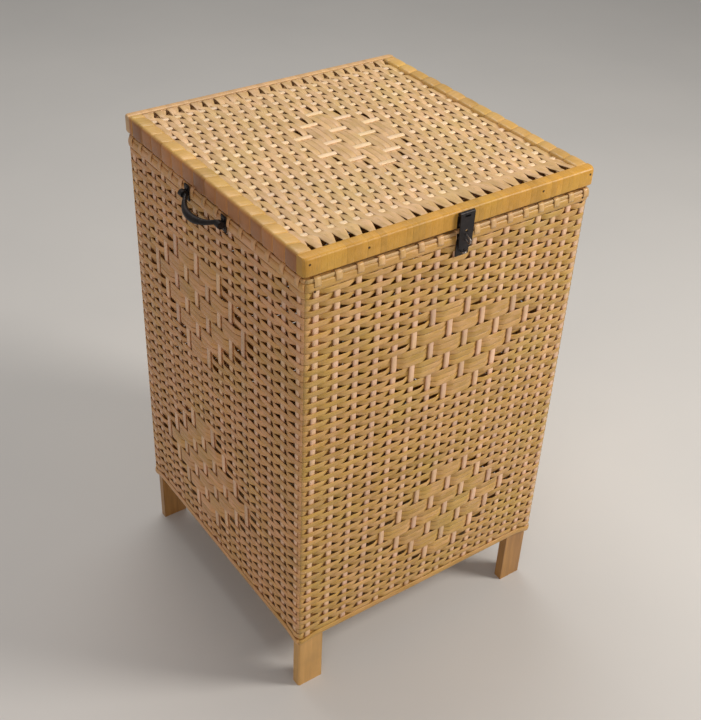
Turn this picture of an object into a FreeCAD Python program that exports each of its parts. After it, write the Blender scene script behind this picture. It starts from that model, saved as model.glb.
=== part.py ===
"""Woven cane laundry hamper with a hinged lid.

A board frame on four short legs carries woven side panels, a nailed rim and a base board.
The lid is a bound frame with a woven panel. It turns on two butt hinges at the back and has a
swinging hasp strap at the front. A bow handle swings in two eye clips on each side.

Millimetres. Origin on the floor at the middle of the footprint, +Z up, hasp at -Y,
hinges at +Y, handles at -X and +X.
"""

import FreeCAD, Part
import math
import os
from FreeCAD import Vector

# ---- overall size ----
WIDTH = 377.0                 # along X at the rim and the lid
DEPTH = 381.0                 # along Y at the rim and the lid
BODY_TOP = 600.0              # top of the rim
LEG_CLEARANCE = 86.0          # floor to the lower edge of the weave
LID_GAP = 4.0                 # rim to lid
LID_THICKNESS = 21.0

# ---- frame boards ----
POST_WIDTH = 34.0             # along X
BOARD_THICKNESS = 12.0
POST_TOP = 599.0
POST_EDGE_RADIUS = 3.0        # on each post's outer corner
TOP_RAIL_HEIGHT = 14.0
BOTTOM_RAIL_HEIGHT = 18.0
BASE_THICKNESS = 5.0
BASE_RAIL_RISE = 2.0          # lower edge of the weave to the lower edge of the bottom rails

# ---- weave and rim ----
WEAVE_THICKNESS = 4.0
RIM_PROUD = 1.0               # how far the rim stands out past the weave
RIM_HEIGHT = 16.0
CORNER_RADIUS = 3.5
RIM_NAIL_INSET = 8.0          # post's outer face to the nails
RIM_NAIL_DROPS = (8.5, 14.0)  # below the top of the rim
RIM_NAIL_LENGTH = 12.0

# ---- lid ----
LID_SIDE_RAIL_WIDTH = 17.0    # left and right rails
LID_END_RAIL_WIDTH = 12.5     # front and back rails
WRAP_THICKNESS = 0.8
LID_CORNER_RADIUS = 4.0
LID_EDGE_RADIUS = 3.4         # outer top edges of the binding
LID_WEAVE_THICKNESS = 4.0
LID_WEAVE_SINK = 1.5          # lid top to the top of its woven panel
CORNER_NAIL_INSET = 6.5       # from the lid's side to the nail at its corner
CORNER_NAIL_RISE = 14.0       # above the lid's underside
INNER_NAIL_INSET = 75.0
INNER_NAIL_RISE = 12.0
LID_NAIL_LENGTH = 9.0

# ---- hinges ----
HINGE_X = 110.0               # from the middle to each hinge
HINGE_WIDTH = 32.0
HINGE_LEAF_THICKNESS = 1.4
HINGE_LEAF_HEIGHT = 16.5      # from the pin's height to the far edge of a leaf
HINGE_BARREL_RADIUS = 3.2
HINGE_PIN_RADIUS = 1.5
HINGE_PIN_STANDOFF = 3.6      # lid's back face to the pin's axis
HINGE_KNUCKLE = 11.4          # middle knuckle, on the lid's leaf
KNUCKLE_GAP = 0.3             # end clearance between knuckles, on the hinges and the hasp
HINGE_RELIEF = 4.4            # pin's height to the straight edge of a leaf
HINGE_SCREW_X = 10.0
HINGE_SCREW_OFFSET = 10.5     # pin's height to the screws above and below it
HINGE_SCREW_LENGTH = 13.0

# ---- hasp ----
HASP_X = 5.5
HASP_WIDTH = 19.0
HASP_TIP_WIDTH = 17.0
HASP_PIN_HEIGHT = 622.0
HASP_PIN_STANDOFF = 2.8       # lid's front face to the pin's axis
HASP_BARREL_RADIUS = 2.4
HASP_PIN_RADIUS = 1.1
HASP_SHEET = 1.2              # sheet metal of the leaf, strap and keeper
HASP_BARREL_PROUD = 0.15      # how far the barrel stands out past the strap's front
HASP_KNUCKLE = 6.6            # middle knuckle, on the leaf
HASP_LEAF_BOTTOM = 605.5
HASP_SHOULDER_HEIGHT = 583.5  # where the strap's rounded end begins
HASP_TIP_HEIGHT = 581.0
HASP_HOLE_HEIGHT = 602.5
HASP_HOLE_RADIUS = 1.6
HASP_SCREW_X = 6.0
HASP_SCREW_HEIGHT = 609.5
HASP_SCREW_LENGTH = 12.0
HASP_LEAF_RELIEF = 0.4        # barrel to the straight edge of the leaf
HASP_NOTCH_RELIEF = 1.0       # barrel to the bottom of the strap's notch

EYE_HEIGHT = 598.3            # upper leg of the wire eye on the strap
EYE_TALL = 6.0                # between the eye's two legs
EYE_REACH = 5.0               # straight part of each leg
EYE_WIRE = 0.9                # wire radius
EYE_TILT = 18.0               # degrees below level

KEEPER_WIDTH = 17.0
KEEPER_TOP = 598.5
KEEPER_BOTTOM = 572.0
KEEPER_SCREW_X = 5.5
KEEPER_SCREW_HEIGHT = 594.0
STAPLE_HEIGHT = 577.2
STAPLE_HALF_WIDTH = 2.4
STAPLE_REACH = 3.0
STAPLE_WIRE = 0.8

# ---- handles ----
HANDLE_PIVOT_HEIGHT = 592.0
HANDLE_STANDOFF = 6.0         # rim to the pivot's axis
BAIL_HALF_SPAN = 33.0         # middle of the bow to where it meets its stub
BAIL_BOW = 14.0
BAIL_END_RADIUS = 2.5
BAIL_GRIP_RADIUS = 4.6
BAIL_DROOP = 25.0             # degrees below level at rest
BAIL_SECTIONS = 13
EYELET_INNER = 36.2           # from the handle's middle to the clip's inner end
EYELET_LENGTH = 7.0
EYELET_RADIUS = 4.2
CLIP_WIDTH = 10.0
CLIP_HEIGHT = 18.0
CLIP_THICKNESS = 1.4
CLIP_WEB_HALF_HEIGHT = 2.6    # web between a clip's plate and its eye
CLIP_SCREW_RISE = 5.6
CLIP_SCREW_LENGTH = 14.0

# ---- fasteners ----
RUNNING_CLEARANCE = 0.06
SCREW_HEAD_RADIUS = 2.3
SCREW_HEAD_HEIGHT = 0.9
SCREW_DOME_SHARE = 0.6        # rounding of the head's rim, as a share of its height
SCREW_SHANK_RADIUS = 1.2
NAIL_HEAD_RADIUS = 1.3
NAIL_SHANK_RADIUS = 0.7
NAIL_HEAD_HEIGHT = 0.5
CUT_MARGIN = 10.0             # how far a cutting block runs past what it cuts
TOLERANCE = 0.01              # within this, two places are taken to be the same

# ---- worked out from the above ----
HALF_W = WIDTH / 2
HALF_D = DEPTH / 2
WEAVE_X = HALF_W - RIM_PROUD
WEAVE_Y = HALF_D - RIM_PROUD
FRAME_X = WEAVE_X - WEAVE_THICKNESS
FRAME_Y = WEAVE_Y - WEAVE_THICKNESS
POST_INNER_X = FRAME_X - POST_WIDTH
POST_INNER_Y = FRAME_Y - BOARD_THICKNESS
RIM_BOTTOM = BODY_TOP - RIM_HEIGHT
BASE_RAIL_BOTTOM = LEG_CLEARANCE + BASE_RAIL_RISE
BASE_BOTTOM = BASE_RAIL_BOTTOM + BOTTOM_RAIL_HEIGHT
LID_BOTTOM = BODY_TOP + LID_GAP
LID_TOP = LID_BOTTOM + LID_THICKNESS
LID_INNER_X = HALF_W - LID_SIDE_RAIL_WIDTH
LID_INNER_Y = HALF_D - LID_END_RAIL_WIDTH
HINGE_AXIS_Y = HALF_D + HINGE_PIN_STANDOFF
HINGE_AXIS_Z = BODY_TOP + LID_GAP / 2
HASP_AXIS_Y = -HALF_D - HASP_PIN_STANDOFF
STRAP_FRONT = HASP_AXIS_Y - HASP_BARREL_RADIUS + HASP_BARREL_PROUD
STRAP_BACK = STRAP_FRONT + HASP_SHEET
LEAF_FRONT = -HALF_D - HASP_SHEET

X_AXIS = Vector(1, 0, 0)
Y_AXIS = Vector(0, 1, 0)
Z_AXIS = Vector(0, 0, 1)

nodes = {}


def block(x0, x1, y0, y1, z0, z1):
    """A box between two planes on each axis."""
    corner = Vector(min(x0, x1), min(y0, y1), min(z0, z1))
    return Part.makeBox(abs(x1 - x0), abs(y1 - y0), abs(z1 - z0), corner)


def rod(radius, length, start, direction):
    """A round bar from start along direction."""
    return Part.makeCylinder(radius, length, start, direction)


def upright_edges(shape, x, y):
    """The vertical edges of shape that stand at x, y."""
    found = []
    for edge in shape.Edges:
        a, b = edge.Vertexes[0].Point, edge.Vertexes[-1].Point
        at_place = abs(a.x - x) < TOLERANCE and abs(a.y - y) < TOLERANCE
        if at_place and abs(a.x - b.x) < TOLERANCE and abs(a.y - b.y) < TOLERANCE:
            found.append(edge)
    return found


def round_outer_corners(shape, half_x, y, radius):
    """Rounds the two vertical edges at plus and minus half_x on the plane y."""
    edges = upright_edges(shape, half_x, y) + upright_edges(shape, -half_x, y)
    return shape.makeFillet(radius, edges)


def level_edges(shape, height):
    """The edges that lie level at this height, each with its two ends."""
    found = []
    for edge in shape.Edges:
        ends = [vertex.Point for vertex in edge.Vertexes]
        if all(abs(end.z - height) < TOLERANCE for end in ends):
            found.append((edge, ends))
    return found


def round_top(shape, height, radius, inner_y):
    """Rounds an end rail's top edges, apart from the one on its inner face."""
    edges = []
    for edge, ends in level_edges(shape, height):
        if not all(abs(end.y - inner_y) < TOLERANCE for end in ends):
            edges.append(edge)
    return shape.makeFillet(radius, edges)


def round_side_top(shape, outer_x, height, radius):
    """Rounds a side rail's outer top edge."""
    edges = []
    for edge, ends in level_edges(shape, height):
        if all(abs(end.x - outer_x) < TOLERANCE for end in ends):
            edges.append(edge)
    return shape.makeFillet(radius, edges)


def drill(names, *cutters):
    """Cuts the cutters out of the named nodes."""
    for name in names:
        for cutter in cutters:
            nodes[name] = nodes[name].cut(cutter)


def screw(head_seat, into, length):
    """A dome-headed screw. head_seat is the point under the head and into the way it is driven."""
    outward = into * -1
    head = rod(SCREW_HEAD_RADIUS, SCREW_HEAD_HEIGHT, head_seat, outward)
    circles = [edge for edge in head.Edges if isinstance(edge.Curve, Part.Circle)]
    rim = max(circles, key=lambda edge: (edge.Curve.Center - head_seat).dot(outward))
    head = head.makeFillet(SCREW_HEAD_HEIGHT * SCREW_DOME_SHARE, [rim])
    shank = rod(SCREW_SHANK_RADIUS, length, head_seat, into)
    return head.fuse(shank).removeSplitter(), shank


def nail(point, into, length):
    """A small flat-headed nail driven flush: its head is sunk into the surface at point."""
    head = rod(NAIL_HEAD_RADIUS, NAIL_HEAD_HEIGHT, point, into)
    shank = rod(NAIL_SHANK_RADIUS, length, point, into)
    return head.fuse(shank).removeSplitter()


# ---- frame ----
def make_frame():
    base = block(-FRAME_X, FRAME_X, -FRAME_Y, FRAME_Y, BASE_BOTTOM, BASE_BOTTOM + BASE_THICKNESS)
    for sx, side in ((-1, "left"), (1, "right")):
        for sy, end in ((-1, "front"), (1, "back")):
            board = block(sx * POST_INNER_X, sx * FRAME_X, sy * POST_INNER_Y, sy * FRAME_Y,
                          0, POST_TOP)
            base = base.cut(board)
            outer_edge = upright_edges(board, sx * FRAME_X, sy * FRAME_Y)
            nodes["leg_post_%s_%s" % (end, side)] = board.makeFillet(POST_EDGE_RADIUS, outer_edge)
    nodes["base_board"] = base
    levels = (
        ("top_rail", POST_TOP - TOP_RAIL_HEIGHT, POST_TOP),
        ("bottom_rail", BASE_RAIL_BOTTOM, BASE_BOTTOM),
    )
    for prefix, low, high in levels:
        for sign, front_back, left_right in ((-1, "front", "left"), (1, "back", "right")):
            nodes["%s_%s" % (prefix, front_back)] = block(
                -POST_INNER_X, POST_INNER_X, sign * POST_INNER_Y, sign * FRAME_Y, low, high)
            nodes["%s_%s" % (prefix, left_right)] = block(
                sign * (FRAME_X - BOARD_THICKNESS), sign * FRAME_X,
                -POST_INNER_Y, POST_INNER_Y, low, high)


# ---- weave and rim ----
def make_woven_sides():
    bands = (
        ("woven_panel", WEAVE_X, WEAVE_Y, LEG_CLEARANCE, RIM_BOTTOM),
        ("rim_strip", HALF_W, HALF_D, RIM_BOTTOM, BODY_TOP),
    )
    for prefix, out_x, out_y, low, high in bands:
        for sign, front_back, left_right in ((-1, "front", "left"), (1, "back", "right")):
            wide = block(-out_x, out_x, sign * FRAME_Y, sign * out_y, low, high)
            nodes["%s_%s" % (prefix, front_back)] = round_outer_corners(
                wide, out_x, sign * out_y, CORNER_RADIUS)
            nodes["%s_%s" % (prefix, left_right)] = block(
                sign * FRAME_X, sign * out_x, -FRAME_Y, FRAME_Y, low, high)


def make_rim_nails():
    """Two nails at each end of the front and back rim strips, into the posts."""
    nails = []
    for sx in (-1, 1):
        for sy, end in ((-1, "front"), (1, "back")):
            side = "left" if sx < 0 else "right"
            for drop in RIM_NAIL_DROPS:
                point = Vector(sx * (FRAME_X - RIM_NAIL_INSET), sy * HALF_D, BODY_TOP - drop)
                pin = nail(point, Y_AXIS * -sy, RIM_NAIL_LENGTH)
                drill(["rim_strip_" + end, "leg_post_%s_%s" % (end, side)], pin)
                nails.append(pin)
    nodes["rim_nails"] = Part.makeCompound(nails)


# ---- lid ----
def make_lid():
    low, high = LID_BOTTOM, LID_TOP
    w = WRAP_THICKNESS
    for sign, name in ((-1, "front"), (1, "back")):
        outer = block(-HALF_W, HALF_W, sign * LID_INNER_Y, sign * HALF_D, low, high)
        outer = round_outer_corners(outer, HALF_W, sign * HALF_D, LID_CORNER_RADIUS)
        outer = round_top(outer, high, LID_EDGE_RADIUS, sign * LID_INNER_Y)
        core = block(-HALF_W + w, HALF_W - w, sign * (LID_INNER_Y + w), sign * (HALF_D - w),
                     low + w, high - w)
        core = round_outer_corners(core, HALF_W - w, sign * (HALF_D - w), LID_CORNER_RADIUS - w)
        core = round_top(core, high - w, LID_EDGE_RADIUS - w, sign * (LID_INNER_Y + w))
        nodes["lid_rail_" + name] = core
        nodes["lid_binding_" + name] = outer.cut(core)
    for sign, name in ((-1, "left"), (1, "right")):
        outer = block(sign * LID_INNER_X, sign * HALF_W, -LID_INNER_Y, LID_INNER_Y, low, high)
        outer = round_side_top(outer, sign * HALF_W, high, LID_EDGE_RADIUS)
        core = block(sign * (LID_INNER_X + w), sign * (HALF_W - w), -LID_INNER_Y, LID_INNER_Y,
                     low + w, high - w)
        core = round_side_top(core, sign * (HALF_W - w), high - w, LID_EDGE_RADIUS - w)
        nodes["lid_rail_" + name] = core
        nodes["lid_binding_" + name] = outer.cut(core)
    panel_top = LID_TOP - LID_WEAVE_SINK
    nodes["lid_woven_panel"] = block(-LID_INNER_X, LID_INNER_X, -LID_INNER_Y, LID_INNER_Y,
                                     panel_top - LID_WEAVE_THICKNESS, panel_top)


def make_lid_nails():
    """Nails that hold the binding at the ends of the front and back lid rails."""
    places = ((CORNER_NAIL_INSET, CORNER_NAIL_RISE), (INNER_NAIL_INSET, INNER_NAIL_RISE))
    nails = []
    for sx in (-1, 1):
        for sy, end in ((-1, "front"), (1, "back")):
            for inset, rise in places:
                point = Vector(sx * (HALF_W - inset), sy * HALF_D, LID_BOTTOM + rise)
                pin = nail(point, Y_AXIS * -sy, LID_NAIL_LENGTH)
                drill(["lid_binding_" + end, "lid_rail_" + end], pin)
                nails.append(pin)
    nodes["lid_nails"] = Part.makeCompound(nails)


# ---- hinges ----
def hinge_leaf(centre_x, up, knuckles):
    """A leaf on the back face. up is 1 for the lid's leaf and -1 for the body's."""
    far = HINGE_AXIS_Z + up * HINGE_LEAF_HEIGHT
    relief = HINGE_AXIS_Z + up * HINGE_RELIEF
    y0, y1 = HALF_D, HALF_D + HINGE_LEAF_THICKNESS
    half = HINGE_WIDTH / 2
    leaf = block(centre_x - half, centre_x + half, y0, y1, relief, far)
    for x0, x1 in knuckles:
        neck = block(centre_x + x0, centre_x + x1, y0, y1, HINGE_AXIS_Z, relief)
        barrel = rod(HINGE_BARREL_RADIUS, x1 - x0,
                     Vector(centre_x + x0, HINGE_AXIS_Y, HINGE_AXIS_Z), X_AXIS)
        leaf = leaf.fuse(neck).fuse(barrel)
    return leaf.removeSplitter()


def make_hinges():
    half = HINGE_WIDTH / 2
    middle = HINGE_KNUCKLE / 2
    outer = middle + KNUCKLE_GAP
    pins, body_screws, lid_screws = [], [], []
    for sx, side in ((-1, "left"), (1, "right")):
        x = sx * HINGE_X
        start = Vector(x - half, HINGE_AXIS_Y, HINGE_AXIS_Z)
        body_leaf = hinge_leaf(x, -1, ((-half, -outer), (outer, half)))
        body_leaf = body_leaf.cut(rod(HINGE_PIN_RADIUS, HINGE_WIDTH, start, X_AXIS))
        lid_leaf = hinge_leaf(x, 1, ((-middle, middle),))
        bore = HINGE_PIN_RADIUS + RUNNING_CLEARANCE
        lid_leaf = lid_leaf.cut(rod(bore, HINGE_WIDTH, start, X_AXIS))
        nodes["hinge_body_leaf_" + side] = body_leaf
        nodes["hinge_lid_leaf_" + side] = lid_leaf
        pins.append(rod(HINGE_PIN_RADIUS, HINGE_WIDTH, start, X_AXIS))
        for dx in (-HINGE_SCREW_X, HINGE_SCREW_X):
            seat_y = HALF_D + HINGE_LEAF_THICKNESS
            low = Vector(x + dx, seat_y, HINGE_AXIS_Z - HINGE_SCREW_OFFSET)
            high = Vector(x + dx, seat_y, HINGE_AXIS_Z + HINGE_SCREW_OFFSET)
            piece, shank = screw(low, Y_AXIS * -1, HINGE_SCREW_LENGTH)
            drill(["hinge_body_leaf_" + side, "rim_strip_back", "top_rail_back"], shank)
            body_screws.append(piece)
            piece, shank = screw(high, Y_AXIS * -1, HINGE_SCREW_LENGTH)
            drill(["hinge_lid_leaf_" + side, "lid_binding_back", "lid_rail_back"], shank)
            lid_screws.append(piece)
    nodes["hinge_pins"] = Part.makeCompound(pins)
    nodes["hinge_body_screws"] = Part.makeCompound(body_screws)
    nodes["hinge_lid_screws"] = Part.makeCompound(lid_screws)


# ---- hasp ----
def staple_wire(wire, half_gap, reach, across):
    """A U of round wire in the plane of -Y and across, its legs starting at the origin's plane."""
    out = Vector(0, -1, 0)
    legs = [rod(wire, reach, across * (s * half_gap), out) for s in (-1, 1)]
    turn = Part.makeTorus(half_gap, wire, out * reach, out.cross(across))
    size = half_gap + CUT_MARGIN
    bend = turn.common(block(-size, size, -reach, -reach - size, -size, size))
    return legs[0].fuse(legs[1]).fuse(bend).removeSplitter()


def make_hasp_leaf():
    half, middle = HASP_WIDTH / 2, HASP_KNUCKLE / 2
    leaf = block(HASP_X - half, HASP_X + half, LEAF_FRONT, -HALF_D, HASP_LEAF_BOTTOM,
                 HASP_PIN_HEIGHT - HASP_BARREL_RADIUS - HASP_LEAF_RELIEF)
    neck = block(HASP_X - middle, HASP_X + middle, LEAF_FRONT, -HALF_D,
                 HASP_LEAF_BOTTOM, HASP_PIN_HEIGHT)
    barrel = rod(HASP_BARREL_RADIUS, HASP_KNUCKLE,
                 Vector(HASP_X - middle, HASP_AXIS_Y, HASP_PIN_HEIGHT), X_AXIS)
    pin_line = rod(HASP_PIN_RADIUS, HASP_WIDTH,
                   Vector(HASP_X - half, HASP_AXIS_Y, HASP_PIN_HEIGHT), X_AXIS)
    nodes["hasp_pin"] = pin_line
    nodes["hasp_leaf"] = leaf.fuse(neck).fuse(barrel).cut(pin_line).removeSplitter()
    screws = []
    for dx in (-HASP_SCREW_X, HASP_SCREW_X):
        seat = Vector(HASP_X + dx, LEAF_FRONT, HASP_SCREW_HEIGHT)
        piece, shank = screw(seat, Y_AXIS, HASP_SCREW_LENGTH)
        drill(["hasp_leaf", "lid_binding_front", "lid_rail_front"], shank)
        screws.append(piece)
    nodes["hasp_leaf_screws"] = Part.makeCompound(screws)


def make_hasp_strap():
    half, tip, middle = HASP_WIDTH / 2, HASP_TIP_WIDTH / 2, HASP_KNUCKLE / 2
    y = STRAP_BACK
    left_low = Vector(HASP_X - tip, y, HASP_SHOULDER_HEIGHT)
    right_low = Vector(HASP_X + tip, y, HASP_SHOULDER_HEIGHT)
    left_high = Vector(HASP_X - half, y, HASP_PIN_HEIGHT)
    right_high = Vector(HASP_X + half, y, HASP_PIN_HEIGHT)
    tip_arc = Part.Arc(right_low, Vector(HASP_X, y, HASP_TIP_HEIGHT), left_low).toShape()
    outline = Part.Wire([
        Part.LineSegment(left_low, left_high).toShape(),
        Part.LineSegment(left_high, right_high).toShape(),
        Part.LineSegment(right_high, right_low).toShape(),
        tip_arc,
    ])
    strap = Part.Face(outline).extrude(Vector(0, -HASP_SHEET, 0))
    notch_half = middle + KNUCKLE_GAP
    for x0, x1 in ((-half, -notch_half), (notch_half, half)):
        strap = strap.fuse(rod(HASP_BARREL_RADIUS, x1 - x0,
                               Vector(HASP_X + x0, HASP_AXIS_Y, HASP_PIN_HEIGHT), X_AXIS))
    notch_bottom = HASP_PIN_HEIGHT - HASP_BARREL_RADIUS - HASP_NOTCH_RELIEF
    notch = block(HASP_X - notch_half, HASP_X + notch_half, STRAP_FRONT - 1, STRAP_BACK + 1,
                  notch_bottom, HASP_PIN_HEIGHT + 1)
    bore = rod(HASP_PIN_RADIUS + RUNNING_CLEARANCE, HASP_WIDTH,
               Vector(HASP_X - half, HASP_AXIS_Y, HASP_PIN_HEIGHT), X_AXIS)
    hole = rod(HASP_HOLE_RADIUS, 4 * HASP_SHEET,
               Vector(HASP_X, STRAP_BACK + 1, HASP_HOLE_HEIGHT), Y_AXIS * -1)
    strap = strap.cut(notch).cut(bore).cut(hole)
    eye = staple_wire(EYE_WIRE, EYE_TALL / 2, EYE_REACH + 2 * HASP_SHEET, Z_AXIS)
    eye.rotate(Vector(0, 0, 0), X_AXIS, EYE_TILT)
    eye.translate(Vector(HASP_X, STRAP_BACK + HASP_SHEET, EYE_HEIGHT - EYE_TALL / 2))
    behind = block(HASP_X - half, HASP_X + half, STRAP_BACK, STRAP_BACK + CUT_MARGIN,
                   HASP_TIP_HEIGHT, HASP_PIN_HEIGHT)
    eye = eye.cut(behind)
    nodes["hasp_strap"] = strap.cut(eye).removeSplitter()
    nodes["hasp_eye"] = eye


def make_hasp_keeper():
    half = KEEPER_WIDTH / 2
    keeper = block(HASP_X - half, HASP_X + half, LEAF_FRONT, -HALF_D, KEEPER_BOTTOM, KEEPER_TOP)
    staple = staple_wire(STAPLE_WIRE, STAPLE_HALF_WIDTH, STAPLE_REACH + HASP_SHEET, X_AXIS)
    staple.translate(Vector(HASP_X, -HALF_D, STAPLE_HEIGHT))
    nodes["hasp_keeper"] = keeper.cut(staple)
    nodes["hasp_staple"] = staple
    screws = []
    for dx in (-KEEPER_SCREW_X, KEEPER_SCREW_X):
        seat = Vector(HASP_X + dx, LEAF_FRONT, KEEPER_SCREW_HEIGHT)
        piece, shank = screw(seat, Y_AXIS, HASP_SCREW_LENGTH)
        drill(["hasp_keeper", "rim_strip_front", "top_rail_front"], shank)
        screws.append(piece)
    nodes["hasp_keeper_screws"] = Part.makeCompound(screws)


# ---- handles ----
def bail():
    """The bow in the plane of X and Y, pivot line on the Y axis, bowing towards +X."""
    radius = (BAIL_HALF_SPAN ** 2 + BAIL_BOW ** 2) / (2 * BAIL_BOW)
    sweep = math.asin(BAIL_HALF_SPAN / radius)
    rings = []
    for i in range(BAIL_SECTIONS):
        share = -1 + 2 * i / (BAIL_SECTIONS - 1)
        angle = sweep * share
        centre = Vector(radius * math.cos(angle) - radius + BAIL_BOW, radius * math.sin(angle), 0)
        along = Vector(-math.sin(angle), math.cos(angle), 0)
        swell = 0.5 + 0.5 * math.cos(math.pi * share)
        ring_radius = BAIL_END_RADIUS + (BAIL_GRIP_RADIUS - BAIL_END_RADIUS) * swell
        rings.append(Part.Wire([Part.Circle(centre, along, ring_radius).toShape()]))
    shape = Part.makeLoft(rings, True, False)
    for sign in (-1, 1):
        end = Vector(0, sign * BAIL_HALF_SPAN, 0)
        reach = EYELET_INNER + EYELET_LENGTH - BAIL_HALF_SPAN
        shape = shape.fuse(Part.makeSphere(BAIL_END_RADIUS, end))
        shape = shape.fuse(rod(BAIL_END_RADIUS, reach, end, Y_AXIS * sign))
    return shape.removeSplitter()


def clip(sign):
    """An eye clip on the plane X = 0, sign giving its end of the handle along Y."""
    middle = sign * (EYELET_INNER + EYELET_LENGTH / 2)
    y0, y1 = middle - EYELET_LENGTH / 2, middle + EYELET_LENGTH / 2
    plate = block(0, CLIP_THICKNESS, middle - CLIP_WIDTH / 2, middle + CLIP_WIDTH / 2,
                  -CLIP_HEIGHT / 2, CLIP_HEIGHT / 2)
    web = block(0, HANDLE_STANDOFF, y0, y1,
                -CLIP_WEB_HALF_HEIGHT, CLIP_WEB_HALF_HEIGHT)
    start = Vector(HANDLE_STANDOFF, y0, 0)
    shape = plate.fuse(web).fuse(rod(EYELET_RADIUS, EYELET_LENGTH, start, Y_AXIS))
    bore = rod(BAIL_END_RADIUS + RUNNING_CLEARANCE, EYELET_LENGTH, start, Y_AXIS)
    return shape.cut(bore).removeSplitter()


def placed(shape, side_sign, outward):
    """Stands a handle piece, made facing +X, on the left or the right side of the rim."""
    piece = shape.copy()
    if side_sign < 0:
        piece.rotate(Vector(0, 0, 0), Z_AXIS, 180)
    piece.translate(Vector(side_sign * (HALF_W + outward), 0, HANDLE_PIVOT_HEIGHT))
    return piece


def make_handles():
    drooped = bail()
    drooped.rotate(Vector(0, 0, 0), Y_AXIS, BAIL_DROOP)
    for side_sign, side in ((-1, "left"), (1, "right")):
        nodes["handle_bail_" + side] = placed(drooped, side_sign, HANDLE_STANDOFF)
        clips = Part.makeCompound([clip(-1), clip(1)])
        nodes["handle_clips_" + side] = placed(clips, side_sign, 0)
        screws = []
        for end in (-1, 1):
            y = end * (EYELET_INNER + EYELET_LENGTH / 2)
            for rise in (-CLIP_SCREW_RISE, CLIP_SCREW_RISE):
                seat = Vector(side_sign * (HALF_W + CLIP_THICKNESS), y, HANDLE_PIVOT_HEIGHT + rise)
                piece, shank = screw(seat, X_AXIS * -side_sign, CLIP_SCREW_LENGTH)
                drill(["handle_clips_" + side, "rim_strip_" + side, "top_rail_" + side], shank)
                screws.append(piece)
        nodes["handle_screws_" + side] = Part.makeCompound(screws)


def write_parts():
    os.makedirs("parts", exist_ok=True)
    for name in sorted(nodes):
        shape = nodes[name]
        if not shape.isValid():
            raise RuntimeError("%s is not a valid shape" % name)
        shape.exportStep("parts/%s.step" % name)
        print("%-26s %2d solids %12.1f mm3" % (name, len(shape.Solids), shape.Volume))
    print(len(nodes), "nodes")


make_frame()
make_woven_sides()
make_rim_nails()
make_lid()
make_lid_nails()
make_hinges()
make_hasp_leaf()
make_hasp_strap()
make_hasp_keeper()
make_handles()
write_parts()
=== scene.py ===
"""Woven cane laundry hamper with a hinged lid: its looks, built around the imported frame.

Lengths are millimetres in the row frame; a mesh is scaled to metres when it is written.
Every woven part is made of swept strips: upright stakes, flat weavers, rim and bindings.
"""

import math
import bpy
import numpy as np
from mathutils import Matrix, Vector


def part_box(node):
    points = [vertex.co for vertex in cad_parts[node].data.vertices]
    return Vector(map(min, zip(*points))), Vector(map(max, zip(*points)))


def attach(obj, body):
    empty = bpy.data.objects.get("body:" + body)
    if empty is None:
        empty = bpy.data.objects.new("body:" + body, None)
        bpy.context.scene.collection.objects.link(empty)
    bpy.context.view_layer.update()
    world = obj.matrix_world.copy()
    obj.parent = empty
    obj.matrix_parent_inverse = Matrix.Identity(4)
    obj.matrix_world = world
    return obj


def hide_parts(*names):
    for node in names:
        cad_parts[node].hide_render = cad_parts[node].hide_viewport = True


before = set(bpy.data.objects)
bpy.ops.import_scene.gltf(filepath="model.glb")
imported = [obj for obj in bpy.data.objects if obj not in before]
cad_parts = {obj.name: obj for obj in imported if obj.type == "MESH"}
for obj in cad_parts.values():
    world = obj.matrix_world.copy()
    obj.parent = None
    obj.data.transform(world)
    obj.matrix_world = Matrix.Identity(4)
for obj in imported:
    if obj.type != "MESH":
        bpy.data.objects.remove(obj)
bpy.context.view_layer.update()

MM = 0.001
SEED = 20


def box_mm(node):
    """Lowest and highest corner of a CAD node, in millimetres."""
    low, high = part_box(node)
    return np.array(low) / MM, np.array(high) / MM


# ---- sizes read from the frame ----
FRONT_LOW, FRONT_HIGH = box_mm("woven_panel_front")
LEFT_LOW, LEFT_HIGH = box_mm("woven_panel_left")
RIM_LOW, RIM_HIGH = box_mm("rim_strip_front")
LID_LOW, LID_HIGH = box_mm("lid_woven_panel")
BIND_HIGH = box_mm("lid_binding_front")[1]

MID_Y = -(FRONT_LOW[1] + FRONT_HIGH[1]) / 2      # weave's middle surface, front and back
MID_X = -(LEFT_LOW[0] + LEFT_HIGH[0]) / 2        # and left and right
WEAVE_LOW = FRONT_LOW[2]
WEAVE_HIGH = FRONT_HIGH[2]
RIM_TOP = RIM_HIGH[2]
RIM_OUT = -RIM_LOW[1] - MID_Y                    # how far the rim stands out past it
LID_MID = (LID_LOW[2] + LID_HIGH[2]) / 2
LID_TOP = BIND_HIGH[2]
LID_X = LID_HIGH[0]                              # half size of the woven opening in the lid
HALF_W = BIND_HIGH[0]

# ---- the weave ----
STAKE_WIDTH = 6.9
STAKE_THICKNESS = 2.2
STAKE_REST = -0.3             # stake's middle against the middle surface
STAKE_PUSH = 0.3              # how far a stake gives way to the weavers
WEAVER_WIDTH = 7.15
WEAVER_THICKNESS = 1.1
WEAVE_OVER = 1.6              # weaver's middle against that surface, over a stake
WEAVE_UNDER = -2.2            # and under one
CORNER = 5.0                  # radius of the middle surface at the hamper's corners
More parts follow.
